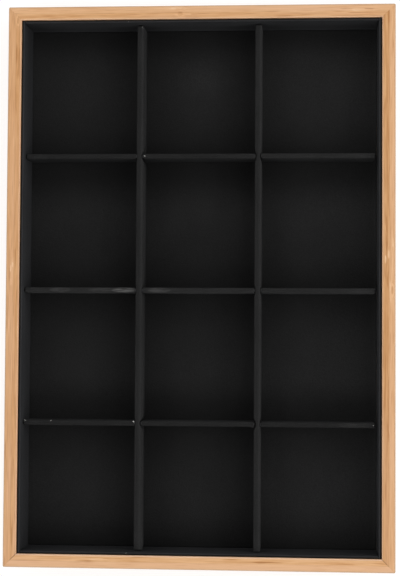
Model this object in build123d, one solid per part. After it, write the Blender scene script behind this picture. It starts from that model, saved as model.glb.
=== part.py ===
from build123d import *
import os

# Jewelry display tray: a mitred bamboo frame around a velvet-lined well, with a divider grid that lifts out.
# Millimetres, +Z up. The origin is the middle of the underside, +X is the tray's right and +Y its back.
# The long dividers run front to back and drop over the cross dividers in half laps.

# Outside of the tray
tray_width = 242.0
tray_length = 350.0
tray_height = 32.0

# Bamboo rails
rail_thickness = 8.25
rail_lift = 0.3  # the felt under the base stands this far below the rails
rail_edge_round = 0.6
rail_corner_round = 1.2
rebate_width = 4.25

# Blind keys that lock the mitres
key_width = 6.0
key_thickness = 1.6
key_height = 16.0
key_inset = 4.4  # from either outer face to the middle of the key
key_rise = 2.0  # from the top of the base to the foot of the key

# Base, the felt under it and the staples that hold it to the rails
base_thickness = 2.5
felt_thickness = 1.0
felt_margin = 0.6
staple_crown = 7.0
staple_leg = 10.0
staple_wire_width = 1.0
staple_wire_thickness = 0.6
staple_point = 1.0
long_rail_staple_count = 5
short_rail_staple_count = 3
staple_end_distance = 24.0  # from the outside of a corner to the middle of the nearest staple

# Velvet-covered boards that line the well
velvet_thickness = 0.6
floor_board_thickness = 0.9
wall_board_thickness = 0.6
wall_board_round = 0.25
wall_drop = 1.0  # from the rim down to the top of the wall lining
wall_turnover = 9.0  # velvet folded down behind a wall board

# Divider grid
divider_drop = 7.5  # from the rim down to the top of the dividers
core_thickness = 1.9
core_round = 0.5
long_velvet_thickness = 1.15  # the long dividers' velvet is laid double
cover_round = 1.1
column_pitch = 74.4
column_shift = -0.25  # the two long dividers stand this far to the left of the grid's middle
front_row_pitch = 83.2  # from the front cross divider to the middle one
back_row_pitch = 84.2  # from the middle cross divider to the back one
row_shift = -2.5  # the middle cross divider stands this far in front of the grid's middle
grid_side_play = 1.8  # how much narrower the grid is than the well; it lies against the left wall
grid_end_play = 0.6  # how much shorter the grid is than the well; it lies against the front wall
waist_depth = 0.45  # how far a lap squeezes the velvet on each side of a long divider
waist_length = 9.0
waist_blend = 6.0

# Clearances
fit_gap = 0.15  # between a piece and the recess that it drops into
lap_gap = 0.15  # on each side of a squeezed divider in a half lap
staple_gap = 0.02
wall_gap = 0.1  # between a rail and the velvet behind a wall board

# Levels above the table
base_bottom = felt_thickness
base_top = base_bottom + base_thickness
floor_top = base_top + floor_board_thickness + velvet_thickness
wall_top = tray_height - wall_drop
divider_top = tray_height - divider_drop
key_bottom = base_top + key_rise

# Spaces inside the frame, the rebate and the lined well
frame_width = tray_width - 2 * rail_thickness
frame_length = tray_length - 2 * rail_thickness
rebate_opening_width = frame_width + 2 * rebate_width
rebate_opening_length = frame_length + 2 * rebate_width
wall_stack = wall_gap + wall_board_thickness + 2 * velvet_thickness
well_width = frame_width - 2 * wall_stack
well_length = frame_length - 2 * wall_stack

# The grid's own sizes and its place in the well
long_thickness = core_thickness + 2 * long_velvet_thickness
cross_thickness = core_thickness + 2 * velvet_thickness
divider_height = divider_top - floor_top
cross_length = well_width - grid_side_play
long_length = well_length - grid_end_play
lap_depth = divider_height / 2 + lap_gap
long_lap_width = cross_thickness + 2 * lap_gap
cross_lap_width = long_thickness - 2 * waist_depth + 2 * lap_gap
grid_x = -(grid_side_play / 2 - fit_gap)
grid_y = -(grid_end_play / 2 - fit_gap)
column_x = {
    "left": grid_x + column_shift - column_pitch / 2,
    "right": grid_x + column_shift + column_pitch / 2,
}
row_y = {
    "front": grid_y + row_shift - front_row_pitch,
    "middle": grid_y + row_shift,
    "back": grid_y + row_shift + back_row_pitch,
}

ON_FLOOR = (Align.CENTER, Align.CENTER, Align.MIN)
FROM_CORNER = (Align.MIN, Align.MIN)
CORNERS = {
    "front_left": (-1, -1),
    "front_right": (1, -1),
    "back_left": (-1, 1),
    "back_right": (1, 1),
}


def sides():
    """How far each side is turned from the left one, the frame's span across it and the side's own length."""
    return {
        "left": (0, tray_width, tray_length),
        "front": (90, tray_length, tray_width),
        "right": (180, tray_width, tray_length),
        "back": (270, tray_length, tray_width),
    }


def block(width, length, bottom, top):
    """Upright block centred on the tray, between two levels."""
    return Pos(0, 0, bottom) * Box(width, length, top - bottom, align=ON_FLOOR)


def evenly(count, first, last):
    """Places from first to last at equal steps."""
    if count == 1:
        return [(first + last) / 2]
    step = (last - first) / (count - 1)
    return [first + step * i for i in range(count)]


def rail_section():
    """Section of a rail: X runs inwards from its outer face, Y up from its lower edge."""
    section = Rectangle(rail_thickness, tray_height - rail_lift, align=FROM_CORNER)
    section = fillet(section.vertices(), rail_edge_round)
    rebate = Rectangle(rebate_width, base_top - rail_lift, align=(Align.MAX, Align.MIN))
    return section - Pos(rail_thickness, 0) * rebate


def mitred_bar(length):
    """A rail along Y with its outer face at X = 0, cut at 45 degrees from its outer corners."""
    bar = extrude(Plane.XZ * rail_section(), amount=length / 2, both=True)
    reach = 2 * rail_thickness
    half = length / 2
    outline = Polyline((0, -half), (reach, reach - half), (reach, half - reach), (0, half), close=True)
    return bar & extrude(make_face(outline), amount=tray_height)


def corner_key(sign_x, sign_y, gap=0.0):
    """Flat key across the mitre of one corner, or its slot when a gap is given."""
    turn = -45 if sign_x == sign_y else 45
    place = Pos(sign_x * (tray_width / 2 - key_inset), sign_y * (tray_length / 2 - key_inset), key_bottom - gap)
    return place * Rot(Z=turn) * Box(
        key_width + 2 * gap, key_thickness + 2 * gap, key_height + 2 * gap, align=ON_FLOOR
    )


def staple(gap=0.0):
    """A staple on its crown with its legs up and cut to points, or the slot for it when a gap is given."""
    outside = staple_crown / 2 + gap
    inside = staple_crown / 2 - staple_wire_thickness - gap
    crown_top = staple_wire_thickness + gap
    leg_top = staple_leg + gap
    right_half = [(outside, 0), (outside, leg_top - staple_point), (inside, leg_top), (inside, crown_top)]
    left_half = [(-x, z) for x, z in reversed(right_half)]
    profile = make_face(Polyline(*right_half, *left_half, close=True))
    return extrude(Plane.XZ * profile, amount=staple_wire_width / 2 + gap, both=True)


def staple_places():
    """Where the staples go: lengthwise on the ledge of the rebate, on all four rails."""
    ledge = rail_thickness - rebate_width / 2
    across = tray_width / 2 - ledge
    along = tray_length / 2 - ledge
    long_end = tray_length / 2 - staple_end_distance
    short_end = tray_width / 2 - staple_end_distance
    places = []
    for side in (-1, 1):
        for y in evenly(long_rail_staple_count, -long_end, long_end):
            places.append(Pos(side * across, y, base_bottom) * Rot(Z=90))
        for x in evenly(short_rail_staple_count, -short_end, short_end):
            places.append(Pos(x, side * along, base_bottom))
    return places


def rails():
    """The four rails, with their corners rounded as one frame and recessed for the keys and staples."""
    footprint = extrude(RectangleRounded(tray_width, tray_length, rail_corner_round), amount=tray_height)
    key_slots = [corner_key(*signs, gap=fit_gap) for signs in CORNERS.values()]
    staple_slots = [place * staple(gap=staple_gap) for place in staple_places()]
    made = {}
    for side, (turn, span, length) in sides().items():
        rail = Rot(Z=turn) * Pos(-span / 2, 0, rail_lift) * mitred_bar(length)
        made[f"rail_{side}"] = (rail & footprint) - key_slots - staple_slots
    return made


def base_panel():
    """Thin panel in the rebate, slotted for the staples so that their crowns lie flush."""
    width = rebate_opening_width - 2 * fit_gap
    length = rebate_opening_length - 2 * fit_gap
    return block(width, length, base_bottom, base_top) - [
        place * staple(gap=staple_gap) for place in staple_places()
    ]


def underside_felt():
    """Felt sheet glued under the base."""
    width = rebate_opening_width - 2 * felt_margin
    length = rebate_opening_length - 2 * felt_margin
    return block(width, length, 0, felt_thickness)


def floor_pad():
    """Floor board of the well, and the velvet that covers its top and edges."""
    width = well_width - 2 * fit_gap
    length = well_length - 2 * fit_gap
    board_top = floor_top - velvet_thickness
    board = block(width - 2 * velvet_thickness, length - 2 * velvet_thickness, base_top, board_top)
    return board, block(width, length, base_top, floor_top) - board


def wall_lining(length):
    """A wall board along Y and its velvet, with their back at X = 0 and their face towards +X."""
    board_height = wall_top - velvet_thickness - base_top
    board = Rectangle(wall_board_thickness, board_height, align=FROM_CORNER)
    board = Pos(velvet_thickness, 0) * fillet(board.vertices().group_by(Axis.Y)[-1], wall_board_round)
    height = wall_top - base_top
    wrap = Rectangle(wall_board_thickness + 2 * velvet_thickness, height, align=FROM_CORNER)
    wrap = fillet(wrap.vertices().group_by(Axis.Y)[-1], wall_board_round + velvet_thickness)
    bare_back = Rectangle(velvet_thickness, height - wall_turnover, align=FROM_CORNER)
    wrap = wrap - board - bare_back
    return [
        Pos(0, 0, base_top) * extrude(Plane.XZ * section, amount=length / 2, both=True)
        for section in (board, wrap)
    ]


def wall_linings():
    """Four lined wall boards. The long ones run into the corners and the short ones fit between them."""
    made = {}
    for side, (turn, span, _) in sides().items():
        length = frame_length - 2 * wall_gap if side in ("left", "right") else well_width - 2 * wall_gap
        place = Rot(Z=turn) * Pos(-(span / 2 - rail_thickness - wall_gap), 0, 0)
        board, velvet = wall_lining(length)
        made[f"wall_board_{side}"] = place * board
        made[f"wall_velvet_{side}"] = place * velvet
    return made


def waisted(outline, places):
    """A long divider's plan along X, drawn in on both sides wherever a cross divider passes."""
    radius = (waist_length**2 / 4 + waist_depth**2) / (2 * waist_depth)
    reach = long_thickness / 2 - waist_depth + radius
    outline = outline - [Pos(x, side * reach) * Circle(radius) for x in places for side in (-1, 1)]
    kinks = [vertex for group in outline.vertices().group_by(Axis.X)[1:-1] for vertex in group]
    return fillet(kinks, waist_blend)


def divider(outline, length, velvet, lap_places, lap_width, laps_open_up):
    """A divider along X on Z = 0: its core board and the velvet cover on its plan, both cut for the half laps."""
    core = Box(length - 2 * velvet, core_thickness, divider_height - velvet, align=ON_FLOOR)
    core = fillet(core.edges().filter_by(Axis.X).group_by(Axis.Z)[-1], core_round)
    cover = extrude(outline, amount=divider_height)
    top_sides = cover.faces().sort_by(Axis.Z)[-1].edges().filter_by(Axis.Y, reverse=True)
    cover = fillet(top_sides, cover_round) - core
    lap = Box(lap_width, 2 * long_thickness, lap_depth, align=ON_FLOOR)
    lap_bottom = divider_height - lap_depth if laps_open_up else 0
    laps = [Pos(x, 0, lap_bottom) * lap for x in lap_places]
    return core - laps, cover - laps


def divider_grid():
    """Three cross dividers with laps that open upwards, and two long ones that drop over them."""
    made = {}
    laps = [x - grid_x for x in column_x.values()]
    outline = Rectangle(cross_length, cross_thickness)
    for row, y in row_y.items():
        core, cover = divider(
            outline, cross_length, velvet_thickness, laps, cross_lap_width, laps_open_up=True
        )
        made[f"cross_core_{row}"] = Pos(grid_x, y, floor_top) * core
        made[f"cross_velvet_{row}"] = Pos(grid_x, y, floor_top) * cover
    laps = [y - grid_y for y in row_y.values()]
    outline = waisted(Rectangle(long_length, long_thickness), laps)
    for column, x in column_x.items():
        core, cover = divider(
            outline, long_length, long_velvet_thickness, laps, long_lap_width, laps_open_up=False
        )
        place = Pos(x, grid_y, floor_top) * Rot(Z=90)
        made[f"long_core_{column}"] = place * core
        made[f"long_velvet_{column}"] = place * cover
    return made


def tray():
    """Every piece of the tray by its node name."""
    floor_board, floor_velvet = floor_pad()
    return {
        **rails(),
        **{f"mitre_key_{corner}": corner_key(*signs) for corner, signs in CORNERS.items()},
        "base_panel": base_panel(),
        "base_staples": Compound(children=[place * staple() for place in staple_places()]),
        "underside_felt": underside_felt(),
        "floor_board": floor_board,
        "floor_velvet": floor_velvet,
        **wall_linings(),
        **divider_grid(),
    }


os.makedirs("parts", exist_ok=True)
for name, piece in tray().items():
    export_step(piece, f"parts/{name}.step")
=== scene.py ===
import logging
import math
import random
from dataclasses import dataclass, fields
from enum import Enum
from typing import Any, Callable, Optional, Union

import bpy
from mathutils import Matrix, Vector
from mathutils.bvhtree import BVHTree


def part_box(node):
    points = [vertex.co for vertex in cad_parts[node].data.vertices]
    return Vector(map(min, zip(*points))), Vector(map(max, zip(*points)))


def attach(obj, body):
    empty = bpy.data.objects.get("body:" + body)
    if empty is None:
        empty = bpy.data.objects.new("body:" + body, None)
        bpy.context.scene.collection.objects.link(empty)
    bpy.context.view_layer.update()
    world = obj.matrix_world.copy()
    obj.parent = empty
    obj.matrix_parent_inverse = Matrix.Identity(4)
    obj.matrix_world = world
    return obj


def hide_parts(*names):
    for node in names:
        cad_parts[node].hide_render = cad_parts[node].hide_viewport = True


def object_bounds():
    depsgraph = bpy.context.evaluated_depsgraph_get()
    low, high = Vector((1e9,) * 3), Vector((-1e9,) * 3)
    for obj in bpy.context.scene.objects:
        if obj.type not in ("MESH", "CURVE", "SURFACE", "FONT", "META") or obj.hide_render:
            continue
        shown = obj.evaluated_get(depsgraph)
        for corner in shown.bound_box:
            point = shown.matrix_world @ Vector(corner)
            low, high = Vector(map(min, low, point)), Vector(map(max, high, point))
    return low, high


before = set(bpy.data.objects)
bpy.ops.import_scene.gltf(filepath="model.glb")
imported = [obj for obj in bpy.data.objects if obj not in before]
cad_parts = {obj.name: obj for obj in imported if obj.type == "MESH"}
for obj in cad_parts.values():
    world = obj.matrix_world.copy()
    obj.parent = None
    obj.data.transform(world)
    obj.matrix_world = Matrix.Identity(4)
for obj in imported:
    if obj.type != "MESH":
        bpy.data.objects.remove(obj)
CAD_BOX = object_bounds()
LOG = logging.getLogger("jewelry_tray")
MM = 0.001
FAR = 10.0
LAP_NUMBERS = range(3)
LONGS = ("left", "right")
CROSSES = ("front", "middle", "back")
WHITE = (1.0, 1.0, 1.0)

Colour = tuple[float, float, float]
Place = tuple[float, float, float]
Span = tuple[float, float]
Socket = bpy.types.NodeSocket
Material = bpy.types.Material


def math_operator(operation: str, swapped: bool = False) -> Callable[["Value", "Operand"], "Value"]:
    """Makes an operator of Value that adds one Math node.

    Args:
        operation: the node's operation.
        swapped: whether the other operand comes first, as in the reflected operators.

    Returns:
        The operator.
    """

    def work(value: "Value", other: "Operand") -> "Value":
        """Adds the node."""
        return value.graph.math(operation, *((other, value) if swapped else (value, other)))

    return work


class Value:
    """A number that a node tree works out. Arithmetic on it adds Math nodes to the tree."""

    __add__ = math_operator("ADD")
    __radd__ = math_operator("ADD", swapped=True)
    __sub__ = math_operator("SUBTRACT")
    __rsub__ = math_operator("SUBTRACT", swapped=True)
    __mul__ = math_operator("MULTIPLY")
    __rmul__ = math_operator("MULTIPLY", swapped=True)
    __truediv__ = math_operator("DIVIDE")
    __rtruediv__ = math_operator("DIVIDE", swapped=True)
    __pow__ = math_operator("POWER")
    __lt__ = math_operator("LESS_THAN")
    __gt__ = math_operator("GREATER_THAN")

    def __init__(self, graph: "Graph", socket: Socket) -> None:
        """Wraps one output socket of the graph's tree."""
        self.graph = graph
        self.socket = socket

    def __neg__(self) -> "Value":
        """Opposite."""
        return self.graph.math("MULTIPLY", self, -1.0)

    def __abs__(self) -> "Value":
        """Size without the sign."""
        return self.graph.math("ABSOLUTE", self)

    def at_least(self, floor: "Operand") -> "Value":
        """This or the floor, whichever is more."""
        return self.graph.math("MAXIMUM", self, floor)

    def at_most(self, ceiling: "Operand") -> "Value":
        """This or the ceiling, whichever is less."""
        return self.graph.math("MINIMUM", self, ceiling)

    def root(self) -> "Value":
        """Square root."""
        return self.graph.math("SQRT", self)

    def tangent(self) -> "Value":
        """Tangent of this angle in radians."""
        return self.graph.math("TANGENT", self)

    def sign(self) -> "Value":
        """1 where this is more than 0, otherwise -1."""
        return (self > 0.0) * 2.0 - 1.0

    def swing(self, share: "Operand") -> "Value":
        """How far this noise is above or below its mean of 0.5, times a share."""
        return (self - 0.5) * share

    def hump(self, width: "Operand") -> "Value":
        """A smooth bump of height 1 where this is 0, down to 0 where it reaches the width on either side."""
        share = self / width
        return (1.0 - share * share).at_least(0.0) ** 2.0

    def bell(self, centre: float, width: float) -> "Value":
        """A bump of height 1 where this is at the centre."""
        return (self - centre).hump(width)

    def rise(self, start: float, end: float) -> "Value":
        """A smooth step.

        Args:
            start: where it starts to rise; it may be the larger of the two.
            end: where it has risen.

        Returns:
            0 before the start, and 1 after the end.
        """
        sockets = {"Value": self, "From Min": start, "From Max": end, "To Min": 0.0, "To Max": 1.0}
        node = self.graph.add("ShaderNodeMapRange", {"interpolation_type": "SMOOTHSTEP"}, sockets)
        return Value(self.graph, node.outputs[0])

    def step(self, place: float, half: float) -> "Value":
        """A smooth step round a place, up for a half width above 0 and down for one below it."""
        return self.rise(place - half, place + half)


Operand = Union[Value, Socket, float]


class Graph:
    """A node tree under construction, for a material, the world or Geometry Nodes."""

    def __init__(self, tree: bpy.types.NodeTree) -> None:
        """Starts on an empty tree."""
        tree.nodes.clear()
        self.tree = tree

    def add(
        self, kind: str, settings: Optional[dict[str, Any]] = None, sockets: Optional[dict[Any, Any]] = None
    ) -> bpy.types.Node:
        """Adds a node of any type.

        Args:
            kind: the node's type.
            settings: its properties, set before its sockets; stops are a colour ramp's places and colours.
            sockets: values or links by a socket's name or index.

        Returns:
            The new node.
        """
        node = self.tree.nodes.new(kind)
        for name, value in (settings or {}).items():
            if name == "stops":
                self._set_stops(node.color_ramp, value)
            else:
                setattr(node, name, value)
        for key, value in (sockets or {}).items():
            self._feed(node.inputs[key], value)
        return node

    def _set_stops(self, ramp: bpy.types.ColorRamp, stops: list[tuple[float, Colour]]) -> None:
        """Gives a ramp its stops.

        Args:
            ramp: the ramp.
            stops: place and colour of each.
        """
        while len(ramp.elements) < len(stops):
            ramp.elements.new(1.0)
        for element, (place, colour) in zip(ramp.elements, stops):
            element.position = place
            element.color = (*colour, 1.0)

    def _feed(self, socket: Socket, value: Any) -> None:
        """Links a value to an input socket, or sets a constant on it.

        Args:
            socket: the input.
            value: a value, an output socket or a constant.
        """
        if isinstance(value, Value):
            value = value.socket
        if isinstance(value, Socket):
            self.tree.links.new(value, socket)
        elif socket.type == "RGBA" and len(value) == 3:
            socket.default_value = (*value, 1.0)
        else:
            socket.default_value = value

    def math(self, operation: str, *operands: Operand) -> Value:
        """Adds one Math node."""
        node = self.add("ShaderNodeMath", {"operation": operation}, dict(enumerate(operands)))
        return Value(self, node.outputs[0])

    def split(self, vector: Socket) -> tuple[Value, Value, Value]:
        """The three parts of a vector."""
        node = self.add("ShaderNodeSeparateXYZ", None, {0: vector})
        return tuple(Value(self, socket) for socket in node.outputs)

    def join(self, x: Operand, y: Operand, z: Operand) -> Socket:
        """A vector of three values."""
        return self.add("ShaderNodeCombineXYZ", None, {0: x, 1: y, 2: z}).outputs[0]

    def noise(self, vector: Socket, detail: float = 2.0, roughness: float = 0.5) -> Value:
        """Fractal noise about 0.5 with features about 1 unit of the vector across."""
        sockets = {"Vector": vector, "Scale": 1.0, "Detail": detail, "Roughness": roughness}
        return Value(self, self.add("ShaderNodeTexNoise", None, sockets).outputs[0])

    def mix(self, amount: Operand, low: Any, high: Any) -> Socket:
        """A colour between two colours."""
        return self.add("ShaderNodeMix", {"data_type": "RGBA"}, {0: amount, 6: low, 7: high}).outputs[2]

    def tint(self, colour: Colour, amount: Value) -> Socket:
        """A colour made lighter or darker by a factor."""
        node = self.add("ShaderNodeVectorMath", {"operation": "SCALE"}, {0: colour, "Scale": amount})
        return node.outputs[0]


class Side(Enum):
    """A side of the frame, by quarter turns from the back one, anticlockwise from above."""

    BACK = 0
    LEFT = 1
    FRONT = 2
    RIGHT = 3

    @property
    def word(self) -> str:
        """The side's word in the names of nodes."""
        return self.name.lower()

    @property
    def turn(self) -> Matrix:
        """Turns a piece that is made along X with its outside towards +Y to this side."""
        return Matrix.Rotation(math.radians(90.0 * self.value), 4, "Z")

    def local(self, x: Value, y: Value) -> tuple[Value, Value]:
        """Turns object coordinates to this side.

        Args:
            x, y: the coordinates.

        Returns:
            The run along the side and the reach outwards.
        """
        if self is Side.BACK:
            return x, y
        if self is Side.LEFT:
            return y, -x
        if self is Side.FRONT:
            return -x, -y
        return -y, x


class Surface:
    """A material under construction: object coordinates in, one Principled shader out."""

    def __init__(self, name: str) -> None:
        """Starts a material.

        Args:
            name: its name.
        """
        self.material = bpy.data.materials.new(name)
        self.material.use_nodes = True
        self.graph = Graph(self.material.node_tree)
        self.spot = self.graph.add("ShaderNodeTexCoord").outputs["Object"]

    def stretched(self, scale: Place, seed: float = 0.0) -> Socket:
        """Object coordinates with so many features to the metre each way; the seed moves them."""
        sockets = {"Vector": self.spot, "Location": (seed, seed * 1.7, seed * 0.6), "Scale": scale}
        return self.graph.add("ShaderNodeMapping", None, sockets).outputs[0]

    def finish(
        self, colour: Any, roughness: Operand, height: Value, depth: float, fixed: dict[str, Any]
    ) -> Material:
        """Closes the material.

        Args:
            colour: base colour or its socket.
            roughness: roughness or its value.
            height: height of the surface's relief, from 0 to 1.
            depth: how deep the relief is, in metres.
            fixed: constants of the shader, by socket name.

        Returns:
            The finished material.
        """
        relief = {"Strength": 1.0, "Distance": depth, "Height": height}
        normal = self.graph.add("ShaderNodeBump", None, relief).outputs[0]
        sockets = {"Base Color": colour, "Roughness": roughness, "Normal": normal, **fixed}
        shader = self.graph.add("ShaderNodeBsdfPrincipled", None, sockets)
        self.graph.add("ShaderNodeOutputMaterial", None, {"Surface": shader.outputs[0]})
        return self.material


@dataclass(frozen=True)
class Swirl:
    """A bamboo node or a fleck cut through on a rail's top.

    It has its place along the rail, its depth from the outside, its half sizes, how light its rim is and how
    dark its heart is. A heart below 0 is light.
    """

    run: float
    depth: float
    half_length: float
    half_width: float
    rim: float
    heart: float


@dataclass(frozen=True)
class Grain:
    """Noise that is drawn out along a rail.

    It has so many features to the metre along the rail and across it, a detail and a roughness. Its moves say
    how many of the rail's own shifts move it along and across. Its share is its weight in the wood's tone.
    """

    along: float
    across: float
    detail: float
    roughness: float = 0.5
    moves: Span = (1.0, 0.0)
    share: float = 0.0


@dataclass(frozen=True)
class Bamboo:
    """Laminated bamboo of one rail: two plies of strips with fibres along the rail, under a satin lacquer.

    A place is given by its run along the rail from the middle, its depth from the outer face and its height.
    """

    side: Side
    half_run: float
    reach: float
    thickness: float
    top: float
    seed: int
    seam: float
    outer_tone: float
    inner_tone: float
    outer_blush: float
    start_joint: float
    end_joint: float
    # How strong the painted highlight on the inner arris is.
    edge_shine: float
    swirls: tuple[Swirl, ...]
    waver: float = 0.9 * MM
    flow: Grain = Grain(14.0, 90.0, 1.0)
    broad: Grain = Grain(7.0, 380.0, 2.0, share=0.20)
    streaks: Grain = Grain(40.0, 1000.0, 3.0, 0.62, (-1.0, 0.0), 1.15)
    lines: Grain = Grain(55.0, 1400.0, 1.0, share=0.38)
    lengthwise: Grain = Grain(50.0, 60.0, 3.0, 0.6, share=0.08)
    fibres: Grain = Grain(60.0, 3400.0, 1.0, share=0.50)
    flecks: Grain = Grain(240.0, 1500.0, 1.0)
    warmth: Grain = Grain(11.0, 260.0, 1.0, moves=(0.0, 1.0))
    wear: Grain = Grain(120.0, 40.0, 2.0, moves=(0.0, 0.0))
    mean_tone: float = 0.56
    swirl_contrast: float = 1.7
    pore_share: float = 0.16
    rim_share: float = 0.42
    heart_share: float = 0.24
    bend_reach: float = 1.9
    bend_share: float = 0.8
    near_reach: float = 2.4
    outer_strip_line: float = 13.0 * MM
    inner_strip_line: float = 19.0 * MM
    face_height: float = 29.0 * MM
    joint_width: float = 0.50 * MM
    seam_width: float = 0.11 * MM
    relief: float = 0.05 * MM
    dark: Colour = (0.455, 0.212, 0.080)
    middle: Colour = (0.630, 0.336, 0.150)
    light: Colour = (0.770, 0.462, 0.242)
    blush: Colour = (0.735, 0.445, 0.272)
    pale: Colour = (0.880, 0.640, 0.420)
    # Colours of the painted highlight on the inner arris and of the painted shade on the outer arris.
    sanded: Colour = (0.760, 0.510, 0.350)
    weathered: Colour = (0.440, 0.310, 0.205)
    joint: Colour = (0.170, 0.070, 0.028)

    def material(self) -> Material:
        """Makes the material of this rail.

        Returns:
            The finished material.
        """
        surface = Surface(f"bamboo_{self.side.word}")
        graph = surface.graph
        x, y, up = graph.split(surface.spot)
        run, outwards = self.side.local(x, y)
        depth = self.reach - outwards
        led = self._round_swirls(run, depth)
        drift = self._grain(graph, self.flow, run, led, up).swing(self.waver)
        wood = (run, led + drift, up + drift)
        streak = self._grain(graph, self.streaks, *wood)
        fibre = self._grain(graph, self.fibres, *wood)
        wear = self._grain(graph, self.wear, run, depth, up)
        pores = fibre.rise(0.58, 0.70) * streak.rise(0.62, 0.42)
        lines = self._grain(graph, self.lines, *wood).rise(0.56, 0.70)
        rims, hearts = self._knots(run, depth, up)
        contrast = self._near_swirls(run, depth) * self.swirl_contrast + self.streaks.share

        tone = self._strips(depth, up) + self._grain(graph, self.broad, *wood).swing(self.broad.share)
        tone = tone + streak.swing(contrast) + self.mean_tone
        tone = tone + self._grain(graph, self.lengthwise, *wood).swing(self.lengthwise.share)
        tone = tone + fibre.swing(self.fibres.share) - pores * self.pore_share - lines * self.lines.share
        tone = tone + rims * self.rim_share - hearts * self.heart_share
        stops = [(0.08, self.dark), (0.5, self.middle), (0.92, self.light)]
        colour = graph.add("ShaderNodeValToRGB", {"stops": stops}, {0: tone}).outputs[0]

        warm = self._grain(graph, self.warmth, *wood).rise(0.45, 0.75) * 0.35
        outside = depth.step(self.seam, -0.1 * MM)
        colour = graph.mix((warm + outside * self.outer_blush).at_most(0.8), colour, self.blush)
        flecks = self._grain(graph, self.flecks, *wood).rise(0.40, 0.58) * 0.8 + 0.2
        colour = graph.mix((hearts * -0.30).at_least(0.0).at_most(0.8) * flecks, colour, self.pale)

        inner_arris, outer_arris = self._arrises(depth, up)
        # Painted highlight: the inner arris is lightened where its rounding catches the light, by a strength
        # of its own on each rail, broken up by the wear noise.
        shine = (inner_arris * (wear * 0.5 + 0.75) * self.edge_shine).at_most(1.0)
        colour = graph.mix(shine, colour, self.sanded)
        # Painted shade: the outer arris is darkened where its rounding turns away from the light.
        colour = graph.mix(outer_arris * (wear * 0.4 + 0.5), colour, self.weathered)
        gap = self._mitre(run, depth, wear)
        seam = depth.bell(self.seam, self.seam_width) * (0.12 + wear * 0.35)
        colour = graph.mix((gap + seam).at_most(1.0), colour, self.joint)

        roughness = 0.38 + streak.swing(0.2) + inner_arris * 0.15
        height = streak * 0.35 + fibre * 0.25 - pores * 0.3 - gap - seam * 0.5 + 0.5
        lacquer = {"Coat Weight": 0.08, "Coat Roughness": 0.30, "Specular IOR Level": 0.28}
        return surface.finish(colour, roughness, height, self.relief, lacquer)

    def _grain(self, graph: Graph, grain: Grain, run: Value, across: Value, over: Value) -> Value:
        """One noise of the wood.

        Args:
            graph: the material's graph.
            grain: its pattern.
            run, across, over: the place along the fibres and across them, sideways and upwards.

        Returns:
            The noise, about 0.5.
        """
        shift = self.seed * 3.7
        place = graph.join(
            run * grain.along + shift * grain.moves[0],
            across * grain.across + shift * grain.moves[1],
            over * grain.across,
        )
        return graph.noise(place, grain.detail, grain.roughness)

    def _lens(self, run: Value, across: Value, swirl: Swirl, size: float) -> Value:
        """Measures how far inside a swirl a place is.

        Args:
            run: the place along the rail.
            across: the place across it, from the swirl's middle.
            swirl: the swirl.
            size: how many times its own size it is taken for.

        Returns:
            1 at the swirl's middle, 0 on its outline, and less outside.
        """
        along = (run - swirl.run) / (swirl.half_length * size)
        over = across / (swirl.half_width * size)
        return 1.0 - along * along - over * over

    def _round_swirls(self, run: Value, depth: Value) -> Value:
        """Leads the fibres round each swirl.

        Args:
            run, depth: the place.

        Returns:
            The depth that the fibres there would have on a straight strip.
        """
        for swirl in self.swirls:
            across = depth - swirl.depth
            near = self._lens(run, across, swirl, self.bend_reach).at_least(0.0)
            depth = depth - across * near * self.bend_share
        return depth

    def _near_swirls(self, run: Value, depth: Value) -> Value:
        """Finds how near a place is to any swirl.

        Args:
            run, depth: the place.

        Returns:
            1 near the swirls, and 0 away from them.
        """
        near = run * 0.0
        for swirl in self.swirls:
            near = near + self._lens(run, depth - swirl.depth, swirl, self.near_reach).at_least(0.0)
        return near.at_most(1.0)

    def _knots(self, run: Value, depth: Value, up: Value) -> tuple[Value, Value]:
        """Draws the swirls, and the nodes that cross the strips' outer faces.

        Args:
            run, depth, up: the place.

        Returns:
            The light rims and the deeper hearts.
        """
        light = up * 0.0
        dark = up * 0.0
        for swirl in self.swirls:
            lens = self._lens(run, depth - swirl.depth, swirl, 1.0)
            light = light + lens.bell(0.0, 0.65) * swirl.rim
            dark = dark + lens.rise(0.25, 0.85) * swirl.heart
        draw = random.Random(self.seed)
        for low, high in ((0.0, self.outer_strip_line), (self.outer_strip_line, self.face_height)):
            strip = (up > low) * (up < high) * (depth < 1.0 * MM)
            place = draw.uniform(-0.6, 0.6) * self.half_run
            slanted = run + (up - low) * draw.uniform(-0.12, 0.12)
            light = light + slanted.bell(place + 1.6 * MM, 2.4 * MM) * strip * 0.4
            dark = dark + slanted.bell(place, 0.7 * MM) * strip * 0.9
        return light, dark

    def _strips(self, depth: Value, up: Value) -> Value:
        """Gives each strip its own tone.

        Args:
            depth, up: the place.

        Returns:
            The tone: of two plies, and of two strips to a ply on the faces.
        """
        draw = random.Random(self.seed + 50)
        inner = depth.step(self.seam, 0.06 * MM)
        upper_outer = up.step(self.outer_strip_line, 0.05 * MM)
        upper_inner = up.step(self.inner_strip_line, 0.05 * MM)
        outer = self.outer_tone * upper_outer + draw.uniform(-0.25, 0.15) * (1.0 - upper_outer)
        inside = self.inner_tone * upper_inner + draw.uniform(-0.2, 0.2) * (1.0 - upper_inner)
        return outer * (1.0 - inner) + inside * inner

    def _arrises(self, depth: Value, up: Value) -> tuple[Value, Value]:
        """Finds the edges of the rail's top.

        Args:
            depth, up: the place.

        Returns:
            1 on the inner arris and 1 on the outer one.
        """
        near_inside = depth.rise(self.thickness - 0.90 * MM, self.thickness - 0.50 * MM)
        near_outside = depth.rise(1.00 * MM, 0.25 * MM)
        inner = near_inside * up.rise(self.top - 1.0 * MM, self.top - 0.6 * MM)
        return inner, near_outside * up.rise(self.top - 1.4 * MM, self.top - 0.4 * MM)

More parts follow.
